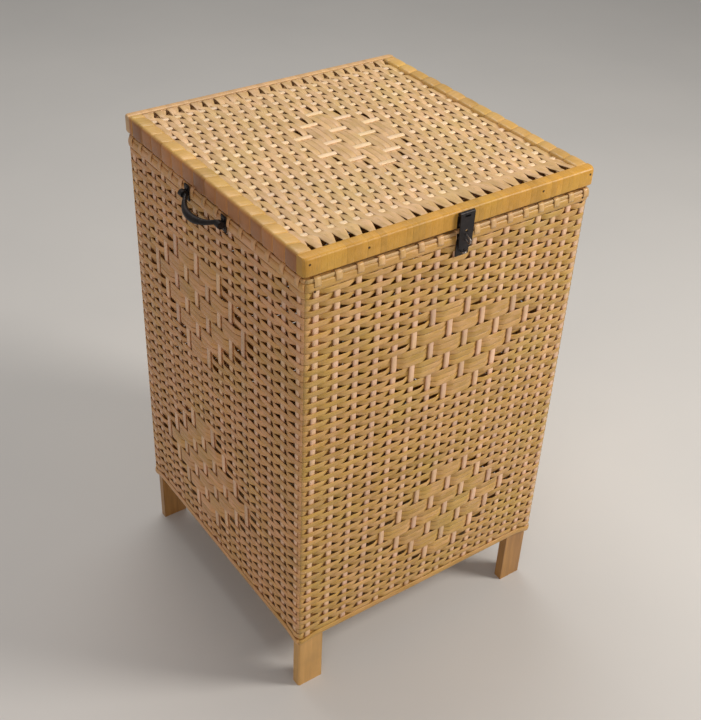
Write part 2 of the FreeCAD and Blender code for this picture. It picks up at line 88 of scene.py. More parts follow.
# Shares of its width a weaver has over a stake on its own, in a block, and between stakes
WEAVER_ALONE, WEAVER_GROUPED, WEAVER_BETWEEN = 0.90, 1.06, 1.08
WELL_SHIFT = 2.0              # how far the narrow part lies to one side of the stake
ROWS = 70
ROW_PITCH = 7.1
FIRST_ROW = 88.0              # lower edge of the lowest row
BULGE = 4.0                   # how far the sides bow out
FOLD_WIDTH = 7.4              # stake ends folded over the rim
FOLD_THICKNESS = 0.7
DIAMOND_STAKE = 8
GROUP = 3                     # rows in one block of a diamond
TOP_ROW = 58
TOP_COUNTS = (2, 3, 4, 3, 2, 1)
BOTTOM_ROW = 25
BOTTOM_COUNTS = (1, 2, 3, 4, 3, 2, 1)

# ---- the lid's weave ----
LID_STAKES = 14
LID_STAKE_PITCH = 23.28
LID_FIRST_STAKE = 158.0       # Y of the stake nearest the hinges
LID_STAKE_SAG = 7.0           # how far the middle stakes sit towards the front
LID_PINCH = 0.34              # share of its width a lid weaver loses under a stake
LID_WELL = 3.5                # how far in front of the stake its narrowest part lies
LID_WEAVERS = 44
LID_PITCH = 2 * LID_X / LID_WEAVERS
LID_STRIP_THICKNESS = 1.0
LID_OVER = 0.6                # as for the sides, against the middle of the lid's weave
LID_UNDER = -1.5
LID_STAKE_REST = -0.5
LID_STAKE_PUSH = 0.2
# By stake: the middle weaver of each block of three that passes under it
LID_DIAMOND = {3: (22,), 4: (19, 25), 5: (16, 22, 28), 6: (19, 25), 7: (16, 22, 28),
               8: (19, 25), 9: (22,)}

UP = np.array((0.0, 0.0, 1.0))
RIGHT = np.array((1.0, 0.0, 0.0))
BACK = np.array((0.0, 1.0, 0.0))


def unit(v):
    return v / np.linalg.norm(v, axis=-1, keepdims=True)


def smooth(t):
    """0 to 1 with flat ends."""
    t = np.clip(t, 0.0, 1.0)
    return t * t * (3 - 2 * t)


# A strip's section, as shares of its width and thickness: flat below, crowned above.
CROWNED = np.array([(-0.46, -0.5), (0.46, -0.5), (0.5, -0.05), (0.43, 0.34),
                    (0.18, 0.5), (-0.18, 0.5), (-0.43, 0.34), (-0.5, -0.05)])


class Strips:
    """Collects swept rings into one mesh. Each vertex keeps where it lies on its own strip."""

    def __init__(self):
        self.points, self.quads, self.marks, self.slots, self.rounded = [], [], [], [], []
        self.count = 0

    def sweep(self, rings, marks, slot=0):
        """rings is (stations, ring points, 3), closed round each ring and capped at both ends."""
        n, m = rings.shape[:2]
        i, j = np.meshgrid(np.arange(n - 1), np.arange(m), indexing="ij")
        k = (j + 1) % m
        sides = np.stack([i * m + j, i * m + k, (i + 1) * m + k, (i + 1) * m + j], -1)
        half = np.arange(m // 2 - 1)
        cap = np.stack([half, half + 1, m - 2 - half, m - 1 - half], -1)
        quads = np.concatenate([sides.reshape(-1, 4), cap[:, ::-1], cap + (n - 1) * m])
        self.points.append(rings.reshape(-1, 3))
        self.quads.append(quads + self.count)
        self.marks.append(marks.reshape(-1, 3))
        self.slots.append(np.full(len(quads), slot))
        self.rounded.append(np.arange(len(quads)) < len(quads) - 2 * len(cap))
        self.count += n * m

    def strip(self, path, facing, width, thickness, tone, slot=0, start=0.0, section=CROWNED):
        """A strip along path whose face looks towards facing."""
        path = np.asarray(path, float)
        n, m = len(path), len(section)
        tangent = unit(np.gradient(path, axis=0))
        facing = np.broadcast_to(facing, path.shape)
        normal = unit(facing - (facing * tangent).sum(1, keepdims=True) * tangent)
        across = np.cross(normal, tangent)
        w = np.broadcast_to(width, (n,))[:, None] * section[None, :, 0]
        t = np.broadcast_to(thickness, (n,))[:, None] * section[None, :, 1]
        rings = path[:, None] + across[:, None] * w[..., None] + normal[:, None] * t[..., None]
        steps = np.linalg.norm(np.diff(path, axis=0), axis=1)
        along = start + np.concatenate([[0.0], np.cumsum(steps)])
        marks = np.stack([np.broadcast_to(along[:, None], (n, m)), w, np.full((n, m), tone)], -1)
        self.sweep(rings, marks, slot)

    def build(self, name, body, materials, slot_name, *nodes):
        """Writes the mesh with its materials, ties it to its CAD body and hides the CAD nodes it
        stands for. The slot name is not used.
        """
        points = np.concatenate(self.points) * MM
        quads = np.concatenate(self.quads)
        mesh = bpy.data.meshes.new(name)
        mesh.vertices.add(len(points))
        mesh.vertices.foreach_set("co", points.astype(np.float32).ravel())
        mesh.loops.add(quads.size)
        mesh.loops.foreach_set("vertex_index", quads.astype(np.int32).ravel())
        mesh.polygons.add(len(quads))
        mesh.polygons.foreach_set("loop_start", np.arange(0, quads.size, 4, dtype=np.int32))
        mesh.polygons.foreach_set("loop_total", np.full(len(quads), 4, np.int32))
        for material in materials:
            mesh.materials.append(material)
        mesh.polygons.foreach_set("material_index", np.concatenate(self.slots).astype(np.int32))
        mesh.update(calc_edges=True)
        mesh.polygons.foreach_set("use_smooth", np.concatenate(self.rounded))
        attribute = mesh.attributes.new("strip", "FLOAT_VECTOR", "POINT")
        attribute.data.foreach_set("vector", np.concatenate(self.marks).astype(np.float32).ravel())
        piece = bpy.data.objects.new(name, mesh)
        bpy.context.scene.collection.objects.link(piece)
        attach(piece, body)
        if nodes:
            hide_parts(*nodes)
        return piece


# ---- materials ----
class Nodes:
    """Short ways to add shader nodes to one material."""

    def __init__(self, name):
        self.material = bpy.data.materials.new(name)
        self.material.use_nodes = True
        self.tree = self.material.node_tree
        self.shader = self.tree.nodes["Principled BSDF"]

    def add(self, kind, **values):
        node = self.tree.nodes.new(kind)
        for key, value in values.items():
            setattr(node, key, value)
        return node

    def link(self, source, target):
        self.tree.links.new(source, target)

    def math(self, operation, a, b=0.0, clamp=False):
        node = self.add("ShaderNodeMath", operation=operation, use_clamp=clamp)
        for socket, value in zip(node.inputs, (a, b)):
            if isinstance(value, (int, float)):
                socket.default_value = value
            else:
                self.link(value, socket)
        return node.outputs[0]

    def mix(self, factor, a, b, blend="MIX"):
        node = self.add("ShaderNodeMix", data_type="RGBA", blend_type=blend)
        for socket, value in ((node.inputs[0], factor), (node.inputs[6], a), (node.inputs[7], b)):
            if isinstance(value, (int, float)):
                socket.default_value = value
            elif isinstance(value, tuple):
                socket.default_value = (*value, 1.0)
            else:
                self.link(value, socket)
        return node.outputs[2]

    def combine(self, x, y, z):
        node = self.add("ShaderNodeCombineXYZ")
        for socket, value in zip(node.inputs, (x, y, z)):
            if isinstance(value, (int, float)):
                socket.default_value = value
            else:
                self.link(value, socket)
        return node.outputs[0]

    def noise(self, vector, scale, detail=2.0, roughness=0.5):
        node = self.add("ShaderNodeTexNoise")
        node.inputs["Scale"].default_value = scale
        node.inputs["Detail"].default_value = detail
        node.inputs["Roughness"].default_value = roughness
        self.link(vector, node.inputs["Vector"])
        return node.outputs["Fac"]

    def spread(self, value, low, high):
        """Stretches low..high to 0..1."""
        node = self.add("ShaderNodeMapRange")
        node.inputs["From Min"].default_value = low
        node.inputs["From Max"].default_value = high
        self.link(value, node.inputs["Value"])
        return node.outputs["Result"]

    def bump(self, height, strength, distance):
        node = self.add("ShaderNodeBump")
        node.inputs["Strength"].default_value = strength
        node.inputs["Distance"].default_value = distance
        self.link(height, node.inputs["Height"])
        self.link(node.outputs["Normal"], self.shader.inputs["Normal"])

    def set(self, **values):
        for key, value in values.items():
            self.shader.inputs[key.replace("_", " ")].default_value = value


def cane(name, gold, tan, olive, half_width, roughness=0.4, coat=0.12, shaded_flank=None):
    """Split cane: fibres along each strip, gold and tan patches, darker edges, a thin varnish.

    Two colours may follow for the faces that look left or right, mixed by the strip's tone. They
    are darker than the top: partly the bands' own alternating tones, partly painted shade on those
    side faces.
    """
    n = Nodes(name)
    split = n.add("ShaderNodeSeparateXYZ")
    mark = n.add("ShaderNodeAttribute", attribute_name="strip")
    n.link(mark.outputs["Vector"], split.inputs[0])
    along, across, tone = split.outputs
    strand = n.math("MULTIPLY", tone, 37.0)

    def stretched(per_along, per_across, third=strand):
        """A place in the noise: per millimetre along and across, and apart for each strip."""
        return n.combine(n.math("MULTIPLY", along, per_along),
                         n.math("MULTIPLY", across, per_across), third)

    place = n.add("ShaderNodeTexCoord").outputs["Object"]
    fibre = n.noise(stretched(0.04, 2.3), 1.0, 3.0, 0.6)
    patch = n.noise(stretched(0.045, 0.1), 1.0, 3.0, 0.55)
    shade = n.noise(stretched(0.02, 0.05, n.math("ADD", strand, 11.0)), 1.0, 2.0)
    speck = n.spread(n.noise(stretched(0.3, 0.9), 1.0, 2.0), 0.66, 0.8)
    body = n.mix(n.spread(patch, 0.4, 0.62), gold, tan)
    green = n.spread(n.noise(place, 16.0, 2.0), 0.48, 0.66)
    body = n.mix(n.math("MULTIPLY", green, 0.55), body, olive)
    # Painted shade, partly: faces that look left or right take the darker side colours.
    if shaded_flank:
        facing = n.add("ShaderNodeSeparateXYZ")
        n.link(n.add("ShaderNodeTexCoord").outputs["Normal"], facing.inputs[0])
        side_shade_mask = n.spread(n.math("ABSOLUTE", facing.outputs[0]), 0.5, 0.95)
        body = n.mix(side_shade_mask, body, n.mix(tone, *shaded_flank))
    level = n.math("ADD", n.math("MULTIPLY", n.spread(fibre, 0.3, 0.7), 0.24),
                   n.math("MULTIPLY", shade, 0.4))
    level = n.math("ADD", level, n.math("MULTIPLY", tone, 0.2))
    level = n.math("ADD", level, 0.53)
    body = n.mix(1.0, body, n.combine(level, level, level), "MULTIPLY")
    edge = n.spread(n.math("ABSOLUTE", across), half_width * 0.88, half_width)
    dark = tuple(0.5 * c for c in gold)
    body = n.mix(n.math("MULTIPLY", edge, 0.2), body, dark)
    body = n.mix(n.math("MULTIPLY", speck, 0.3), body, dark)
    n.link(body, n.shader.inputs["Base Color"])
    rough = n.math("ADD", n.math("MULTIPLY", fibre, 0.22), roughness - 0.11)
    n.link(rough, n.shader.inputs["Roughness"])
    n.bump(fibre, 0.5, 0.0005)
    n.set(Coat_Weight=coat, Coat_Roughness=0.3)
    return n.material


def wood(name, dark, light, grain_axis, roughness=0.4, coat=0.15):
    """Plain timber with grain along one axis, worn a little darker in patches."""
    n = Nodes(name)
    place = n.add("ShaderNodeTexCoord").outputs["Object"]
    stretch = n.add("ShaderNodeMapping")
    scale = [240.0, 240.0, 240.0]
    scale[grain_axis] = 12.0
    stretch.inputs["Scale"].default_value = scale
    n.link(place, stretch.inputs["Vector"])
    grain = n.noise(stretch.outputs[0], 1.0, 4.0, 0.62)
    patch = n.noise(place, 22.0, 3.0)
    body = n.mix(n.spread(grain, 0.32, 0.7), dark, light)
    worn = tuple(0.62 * c for c in light)
    body = n.mix(n.math("MULTIPLY", n.spread(patch, 0.5, 0.75), 0.5), body, worn)
    n.link(body, n.shader.inputs["Base Color"])
    rough = n.math("ADD", n.math("MULTIPLY", grain, 0.2), roughness - 0.1)
    n.link(rough, n.shader.inputs["Roughness"])
    n.bump(grain, 0.25, 0.0004)
    n.set(Coat_Weight=coat, Coat_Roughness=0.25)
    return n.material


def metal(name, base, worn, roughness, metallic, wear=0.35):
    """Metal with scuffs and worn patches."""
    n = Nodes(name)
    place = n.add("ShaderNodeTexCoord").outputs["Object"]
    patch = n.noise(place, 160.0, 4.0, 0.6)
    grit = n.noise(place, 1400.0, 3.0, 0.6)
    scuff = n.math("ADD", n.math("MULTIPLY", patch, 0.75), n.math("MULTIPLY", grit, 0.25))
    mask = n.math("MULTIPLY", n.spread(scuff, 0.5, 0.7), wear)
    n.link(n.mix(mask, base, worn), n.shader.inputs["Base Color"])
    rough = n.math("ADD", n.math("MULTIPLY", patch, 0.3), roughness - 0.15)
    n.link(rough, n.shader.inputs["Roughness"])
    n.bump(grit, 0.3, 0.0002)
    n.set(Metallic=metallic)
    return n.material


# Each cane's main colour, its tan patches and its greener ones, then half the strip's width, the
# roughness and the weight of the varnish.
BAND_HALF = 12.0              # wide enough that a band's edges get no dark line
weaver_cane = cane("weaver_cane", (0.60, 0.345, 0.082), (0.72, 0.42, 0.165),
                   (0.60, 0.395, 0.08), WEAVER_WIDTH / 2)
# Redder copy of the weaver cane for the left side: painted light for how the light falls there.
left_painted_light_cane = cane("left_painted_light_cane", (0.70, 0.365, 0.12), (0.80, 0.43, 0.21),
                        (0.64, 0.38, 0.10), WEAVER_WIDTH / 2)
stake_cane = cane("stake_cane", (0.86, 0.56, 0.33), (0.92, 0.60, 0.42),
                  (0.88, 0.61, 0.33), STAKE_WIDTH / 2, 0.38, 0.2)
fold_cane = cane("fold_cane", (0.72, 0.435, 0.16), (0.80, 0.50, 0.25),
                 (0.76, 0.50, 0.18), FOLD_WIDTH / 2, 0.38, 0.2)
# Redder copy of the fold cane for the left side: painted light for how the light falls there.
left_painted_light_fold_cane = cane("left_painted_light_fold_cane", (0.74, 0.40, 0.15), (0.82, 0.46, 0.24),
                      (0.70, 0.42, 0.14), FOLD_WIDTH / 2, 0.38, 0.2)
lid_cane = cane("lid_cane", (0.66, 0.42, 0.175), (0.78, 0.50, 0.27),
                (0.68, 0.47, 0.18), WEAVER_WIDTH / 2)
lid_stake_cane = cane("lid_stake_cane", (0.90, 0.66, 0.38), (0.92, 0.68, 0.48),
                      (0.94, 0.74, 0.46), STAKE_WIDTH / 2, 0.36, 0.25)
band_cane = cane("band_cane", (0.60, 0.33, 0.075), (0.66, 0.37, 0.12),
                 (0.62, 0.38, 0.09), BAND_HALF)
end_cane = cane("end_cane", (0.62, 0.315, 0.038), (0.66, 0.345, 0.055),
                (0.66, 0.38, 0.052), BAND_HALF, 0.4, 0.08)
# The left binding's copy: its side faces get darker colours, partly the bands' own alternating
# tones and partly painted shade.
side_cane_painted_shade = cane("side_cane_painted_shade", (0.62, 0.36, 0.09), (0.70, 0.42, 0.14),
                 (0.70, 0.46, 0.12), BAND_HALF, 0.38, 0.2,
                 ((0.36, 0.14, 0.045), (0.50, 0.20, 0.056)))
plain_side_cane = cane("plain_side_cane", (0.62, 0.36, 0.09), (0.70, 0.42, 0.14),
                       (0.70, 0.46, 0.12), BAND_HALF, 0.38, 0.2)
back_cane = cane("back_cane", (0.70, 0.42, 0.18), (0.76, 0.47, 0.24),
                 (0.74, 0.47, 0.20), BAND_HALF, 0.36, 0.2)
leg_wood = wood("leg_wood", (0.60, 0.335, 0.10), (0.71, 0.41, 0.135), 2)
# Darker copy of the leg wood for the legs in shade under the body: painted shade.
painted_shade_leg_wood = wood("painted_shade_leg_wood", (0.36, 0.17, 0.045), (0.52, 0.27, 0.075), 2)
rail_wood_x = wood("rail_wood_x", (0.36, 0.20, 0.08), (0.52, 0.33, 0.15), 0, 0.6, 0.0)
rail_wood_y = wood("rail_wood_y", (0.36, 0.20, 0.08), (0.52, 0.33, 0.15), 1, 0.6, 0.0)
board_ply = wood("board_ply", (0.42, 0.27, 0.13), (0.58, 0.41, 0.22), 0, 0.65, 0.0)
black_iron = metal("black_iron", (0.020, 0.017, 0.018), (0.085, 0.062, 0.055), 0.45, 0.55)
bright_wire = metal("bright_wire", (0.42, 0.38, 0.36), (0.20, 0.16, 0.14), 0.35, 1.0)
screw_steel = metal("screw_steel", (0.10, 0.09, 0.09), (0.20, 0.17, 0.15), 0.4, 0.9)
nail_steel = metal("nail_steel", (0.085, 0.045, 0.02), (0.16, 0.09, 0.05), 0.55, 0.6)


# ---- the woven sides ----
THICK_WEAVER = 2.0            # on the sides that aren't in the photo, which are woven closer
WIDE_STAKE = 9.0
FLAT_RELIEF = 0.6             # their weavers dive less


class Side:
    """One side of the hamper. Places along it run from the end of its first corner's arc.

    first and last are the outer corners' distances to the first and the last stake, and drift is
    how far the middle stakes sit on past even spacing. pinch is the share of its width a weaver
    loses under a stake, and well is how far past the stake its narrowest part lies.
    """

    def __init__(self, name, start, along, out, length, parity, stakes, first, last, drift,
                 pinch, well, missing=()):
        self.name, self.along, self.out, self.parity = name, along, out, parity
        self.pinch, self.well = pinch, well
        open_weave = pinch > 0
        self.alone = WEAVER_ALONE if open_weave else WEAVER_BETWEEN
        self.relief = 1.0 if open_weave else FLAT_RELIEF
        self.thickness = WEAVER_THICKNESS if open_weave else THICK_WEAVER
        self.stake_width = STAKE_WIDTH if open_weave else WIDE_STAKE
        self.start = np.array((start[0], start[1], 0.0))
        self.straight = length - 2 * CORNER
        self.missing = missing
        past = HALF_W - MID_X         # from the middle surface to the outer corner
        even = np.linspace(first, length + 2 * past - last, stakes)
        shift = drift * np.sin(np.linspace(0, math.pi, stakes))
        self.stakes = even + shift - past - CORNER
        self.quarter = CORNER * math.pi / 4

    def trace(self, s, z, lift):
        """Points and outward directions at places s, heights z and lift over the middle surface."""
        s, z, lift = np.broadcast_arrays(np.asarray(s, float), z, lift)
        turn = (np.minimum(s, 0.0) + np.maximum(s - self.straight, 0.0)) / CORNER
        flat = np.clip(s, 0.0, self.straight)
        facing = np.sin(turn)[:, None] * self.along + np.cos(turn)[:, None] * self.out
        height = np.clip((z - WEAVE_LOW) / (WEAVE_HIGH - WEAVE_LOW), 0, 1)
        swell = np.maximum(np.sin(math.pi * flat / self.straight), 0.0)   # rounding dips below 0
        bow = BULGE * np.sin(math.pi * height) ** 0.8 * swell ** 0.7
        pivot = self.start + (flat + CORNER)[:, None] * self.along - CORNER * self.out
        points = pivot + facing * (CORNER + lift)[:, None] + self.out * bow[:, None]
        points[:, 2] = z
        return points, facing

    def signs(self):
        """+1 where a row passes over a stake and -1 where it passes under, rows by stakes."""
        row, stake = np.meshgrid(np.arange(ROWS), np.arange(len(self.stakes)), indexing="ij")
        signs = np.where((row + stake + self.parity) % 2 == 0, 1, -1)
        for top, counts in ((TOP_ROW, TOP_COUNTS), (BOTTOM_ROW, BOTTOM_COUNTS)):
            for step, count in enumerate(counts):
                rows = slice(top - GROUP * step - 1, top - GROUP * step + 2)
                blocks = [DIAMOND_STAKE - count + 1 + 2 * b for b in range(count)]
                blocks = [b for b in blocks if (top - GROUP * step, b) not in self.missing]
                for b in blocks:
                    signs[rows, b - 1] = signs[rows, b + 1] = -1
                for b in blocks:
                    signs[rows, b] = 1
        return signs


def lift_between(signs, places, s, over, under, dwell=0.12, climb=0.4):
    """Lift at places s of a weaver: level over a stake, dropping close beside one it passes under.

    dwell and climb are shares of the span: how long it stays down and how long it rises.
    """
    k = np.clip(np.searchsorted(places, s) - 1, 0, len(places) - 2)
    t = (s - places[k]) / (places[k + 1] - places[k])
    before, after = signs[k], signs[k + 1]
    rise = smooth((np.where(before < after, t, 1 - t) - dwell) / climb)
    level = np.where(before > 0, over, under)
    return np.where(before == after, level, under + (over - under) * rise)


def row_height(row):
    return FIRST_ROW + ROW_PITCH * (row + 0.5)


SIDES = (
    Side("front", (-MID_X, -MID_Y), RIGHT, -BACK, 2 * MID_X, 0, 16, 16.0, 8.0, 8.5,
         0.31, -WELL_SHIFT, missing=((TOP_ROW, 9),)),
    Side("right", (MID_X, -MID_Y), BACK, RIGHT, 2 * MID_Y, 0, 16, 11.0, 9.5, 4.0, 0.0, 0.0),
    Side("back", (MID_X, MID_Y), -RIGHT, BACK, 2 * MID_X, 0, 16, 11.0, 9.5, 4.0, 0.0, 0.0),
    Side("left", (-MID_X, -MID_Y), BACK, -RIGHT, 2 * MID_Y, 1, 15, 13.0, 13.0, 5.5,
         0.36, WELL_SHIFT),
)

# Shares of the span from one stake to the next where a strip has a ring
STATIONS = (0.0, 0.1, 0.21, 0.33, 0.5, 0.67, 0.79, 0.9)
PLAIN_STATIONS = (0.0, 0.25, 0.5, 0.75)
ROW_WOBBLE = 0.35
ROW_START = 91.0              # each strip's own offset along the cane's pattern
STAKE_START = 57.0
WIDTH_WOBBLE = 0.015
CORNER_LIFT = 0.8             # where the weavers of two sides meet at a corner
CORNER_REACH = 7.0
CORNER_DIP = 5.0              # how far the lowest rows sag over the legs at the corners
DIP_REACH = 14.0              # how far from the corner the sag reaches
DIP_ROWS = 2.0                # and how many rows up


def stations(places, low, high, shares):
    """Places from low to high, with the same shares of each span between neighbouring stakes."""
    marks = np.concatenate([[low], places, [high]])
    spans = marks[:-1, None] + np.diff(marks)[:, None] * np.array(shares)
    return np.concatenate([spans.ravel(), [high]])


def dip(side, s, row):
    """Sag of the lowest rows at the corners."""
    away = np.minimum(s + side.quarter, side.straight + side.quarter - s)
    return -CORNER_DIP * np.exp(-(away / DIP_REACH) ** 2) * math.exp(-row / DIP_ROWS)


def make_weavers(side):
    """The flat weavers of one side: rows that dive under the stakes and narrow there."""
    strips = Strips()
    signs = side.signs()
    edge = 2 * side.quarter + side.stakes[0]
    far = side.straight + 2 * side.quarter + (side.straight - side.stakes[-1])
    places = np.concatenate([[-edge], side.stakes, [far]])
    s = stations(side.stakes, -side.quarter, side.straight + side.quarter, STATIONS)
    signs = np.concatenate([-signs[:, :1], signs, -signs[:, -1:]], axis=1)
    to_end = np.minimum(s + side.quarter, side.straight + side.quarter - s)
    turning = 1 - smooth(to_end / CORNER_REACH)
    above = np.roll(signs, -1, axis=0)
    below = np.roll(signs, 1, axis=0)
    for row in range(1, ROWS):
        line = signs[row]
        lift = side.relief * lift_between(line, places, s, WEAVE_OVER, WEAVE_UNDER)
        lift = lift * (1 - turning) + CORNER_LIFT * turning
        phase, length = row_waves[row]
        wobble = ROW_WOBBLE * np.sin(s / length + phase)
        z = row_height(row) + wobble + dip(side, s, row)
        path, facing = side.trace(s, z, lift)
        raised = lift_between(line, places, s - side.well, 1.0, 0.0, 0.2, 0.3)
        alone = (above[row] != line) & (below[row] != line)
        full = np.where(line < 0, WEAVER_BETWEEN, np.where(alone, side.alone, WEAVER_GROUPED))
        full = np.interp(s, places, full) + WIDTH_WOBBLE * np.sin(s / 31.0 + phase * 3)
        pinch = side.pinch * np.interp(s - side.well, places, np.where(line < 0, alone, 1.0))
        share = (full - pinch * (1 - raised)) * (1 - turning) + WEAVER_GROUPED * turning
        strips.strip(path, facing, WEAVER_WIDTH * share, side.thickness, row_tones[row],
                     start=row * ROW_START)
    return strips


def make_stakes(side, rng):
    """The upright stakes of one side, which give way a little to the weavers."""
    strips = Strips()
    signs = side.signs()
    z = np.arange(WEAVE_LOW - 1.0, RIM_TOP - 2.0, ROW_PITCH / 2)
    rows = (z - FIRST_ROW) / ROW_PITCH - 0.5
    for k, place in enumerate(side.stakes):
        push = STAKE_REST - STAKE_PUSH * np.interp(rows, np.arange(ROWS), signs[:, k])
        lean = rng.uniform(-0.5, 0.5)
        lean = lean * np.sin((z - WEAVE_LOW) / rng.uniform(90, 160) + rng.uniform(0, 6))
        path, facing = side.trace(np.full(len(z), place) + lean, z, push)
        width = side.stake_width * rng.uniform(0.95, 1.05)
        strips.strip(path, facing, width, STAKE_THICKNESS * side.relief, rng.uniform(0, 1),
                     start=k * STAKE_START)
    return strips


# ---- the rim and the lower edge ----
RIM_BAND = 585.6              # lower edge of the rounded band
RIM_BAND_TOP = 595.6
# Height, lift, width, thickness, range of tones and material slot: the band, the strand on the
# rim's top and the one inside
RIM_STRANDS = (
    ((RIM_BAND + RIM_BAND_TOP) / 2, RIM_OUT - 1.6, RIM_BAND_TOP - RIM_BAND, 3.2, (0.4, 0.9), 0),
    (RIM_TOP - 2.6, RIM_OUT - 2.6, 4.6, 2.4, (0.0, 0.3), 2),
    (RIM_TOP - 7.0, -1.9, 12.0, 1.6, (0.3, 0.6), 0),
)
# Lift and height along a stake's end, from inside the rim over its top and down outside
FOLD_PROFILE = np.array([(-2.4, 589.0), (-2.4, 594.0), (-2.3, 598.0), (-1.4, 600.1), (0.0, 600.7),
                         (1.6, 600.2), (2.6, 598.6), (3.1, 596.0), (3.35, 593.5), (3.2, 590.8)])
HEM_STRANDS = ((1.75, (0.4, 0.8)), (-1.75, (0.2, 0.6)))     # lift and range of tones
HEM_RISE = 3.9                # the hem's middle over the weave's lower edge
HEM_WIDTH = 8.2
HEM_THICKNESS = 2.0


def plain_stations(side):
    """Places for a strip that runs from corner to corner without diving under the stakes."""
    return stations(side.stakes, -side.quarter, side.straight + side.quarter, PLAIN_STATIONS)


def make_rim(side, rng):
    """The golden band, the strands above and inside it, and the stake ends folded over them."""
    strips = Strips()
    s = plain_stations(side)
    for height, lift, width, thickness, tones, slot in RIM_STRANDS:
        tone = rng.uniform(*tones)
        sway = 0.25 * np.sin(s / 43.0 + tone * 9)
        path, facing = side.trace(s, height + sway, lift)
        strips.strip(path, facing, width, thickness, tone, slot)
    slopes = np.gradient(FOLD_PROFILE, axis=0)
    for place in side.stakes:
        turned = place + rng.uniform(-0.8, 0.8)
        lifts, heights = FOLD_PROFILE.T
        points, facings = side.trace(np.full(len(lifts), turned), heights, lifts)
        normal = -slopes[:, 1:] * -facings[0] + slopes[:, :1] * -UP
        width = FOLD_WIDTH * rng.uniform(0.92, 1.08) * np.linspace(0.95, 1.05, len(FOLD_PROFILE))
        strips.strip(points, normal, width, FOLD_THICKNESS, rng.uniform(0.2, 1.0), 1)
    return strips


def make_hem(side, rng):
    """The finished lower edge: a strand outside the stakes and one inside."""
    strips = Strips()
    s = plain_stations(side)
    z = WEAVE_LOW + HEM_RISE + dip(side, s, 0) + 0.2 * np.sin(s / 37.0)
    drawn = [(lift, rng.uniform(*tones)) for lift, tones in HEM_STRANDS]
    for lift, tone in drawn:
        path, facing = side.trace(s, z, lift)
        strips.strip(path, facing, HEM_WIDTH, HEM_THICKNESS, tone)
    return strips


random_source = np.random.default_rng(SEED)
row_tones = random_source.uniform(0.1, 1.0, ROWS)
row_waves = [(random_source.uniform(0, 6.28), random_source.uniform(38, 95)) for _ in range(ROWS)]

# Canes of the weavers, the hem, and the rim's band, folds and top strand. The left's copies are
# redder: painted light, standing in for how the light falls on that side.
PLAIN_CANES = (weaver_cane, band_cane, [band_cane, fold_cane, lid_cane])
LEFT_CANES = (left_painted_light_cane, left_painted_light_cane,
              [left_painted_light_cane, left_painted_light_fold_cane, left_painted_light_fold_cane])

for side in SIDES:
    name = side.name
    panel = "woven_panel_" + name
    cane_of_side, hem_cane, rim_canes = LEFT_CANES if name == "left" else PLAIN_CANES
    make_weavers(side).build("weavers_" + name, "hamper_body", [cane_of_side], "woven_cane", panel)
    make_stakes(side, random_source).build("stakes_" + name, "hamper_body", [stake_cane],
                                           "woven_cane", panel)
    make_rim(side, random_source).build("rim_" + name, "hamper_body", rim_canes, "cane_binding",
                                        "rim_strip_" + name)
    make_hem(side, random_source).build("hem_" + name, "hamper_body", [hem_cane], "woven_cane")


# ---- the lid ----
# The holes along the lid's front edge, from the left: width at the rail, and how far the strip on
# a hole's right is pushed right there.
FRONT_HOLES = ([(8.0, 0.0)] * 6 + [(1.3, 0.0)] * 2 + [(5.2, 1.2)] * 3 + [(2.4, 0.6)]
               + [(5.6, 2.2)] * 3 + [(1.2, 0.4)] * 2 + [(7.4, 2.6)] * 5 + [(2.0, 0.0)])
HOLE_TIP = 157.5              # how far in front of the middle those holes begin
HOLE_BASE = 175.5
BACK_HOLE = 6.4               # width of the ones along the back edge
BACK_THIN = (7, 8)            # all but these two, counted from the left
BACK_THIN_HOLE = 1.2
BACK_TIP, BACK_TIP_LENGTH = 159.0, 6.0        # where they open, and how fast
BACK_BASE, BACK_BASE_LENGTH = 166.5, 14.0     # where they begin to close
LEAN = 5.5                    # all strips step aside past the last stake
LEAN_FROM, LEAN_LENGTH = 147.0, 10.0
EDGE_SLOTS = (161.0, 109.0, -60.0)      # Y of the gaps along the left binding
SLOT_DEPTH, SLOT_REACH = 3.0, 5.0
LID_END = 180.0               # how far the strips reach under the bindings
CLIMB_FROM, CLIMB_LENGTH = 160.0, 15.0        # where they rise to the bindings
TOP_BESIDE_HOLE = (1.3, 2.3)  # their depth there under the top, right and left of a hole
SETTLE = 8.0                  # past the last stake, a strip levels out over this length
LID_START = 71.0              # each strip's own offset along the cane's pattern
LID_STAKE_WIDTH = 6.5
WIDE_LID_STAKE = 7.5
WIDE_LID_STAKES = (5, 7)      # the two broad, pale ones in the diamond


def lid_signs():
    """+1 where a lid weaver passes over a stake, stakes by weavers."""
    stake, weaver = np.meshgrid(np.arange(LID_STAKES), np.arange(LID_WEAVERS), indexing="ij")
    signs = np.where((stake + weaver) % 2 == 1, 1, -1)
    for row, groups in LID_DIAMOND.items():
        for g in groups:
            signs[row, g - 1:g + 2] = -1
            if row + 2 in LID_DIAMOND and g in LID_DIAMOND[row + 2]:
                signs[row + 1, g - 1:g + 2] = 1
    return signs


def lid_rows():
    """Y of each lid stake, from the hinges to the front."""
    i = np.arange(LID_STAKES)
    sag = LID_STAKE_SAG * np.sin(math.pi * (i / (LID_STAKES - 1)) ** 1.8)
    return LID_FIRST_STAKE - LID_STAKE_PITCH * i - sag


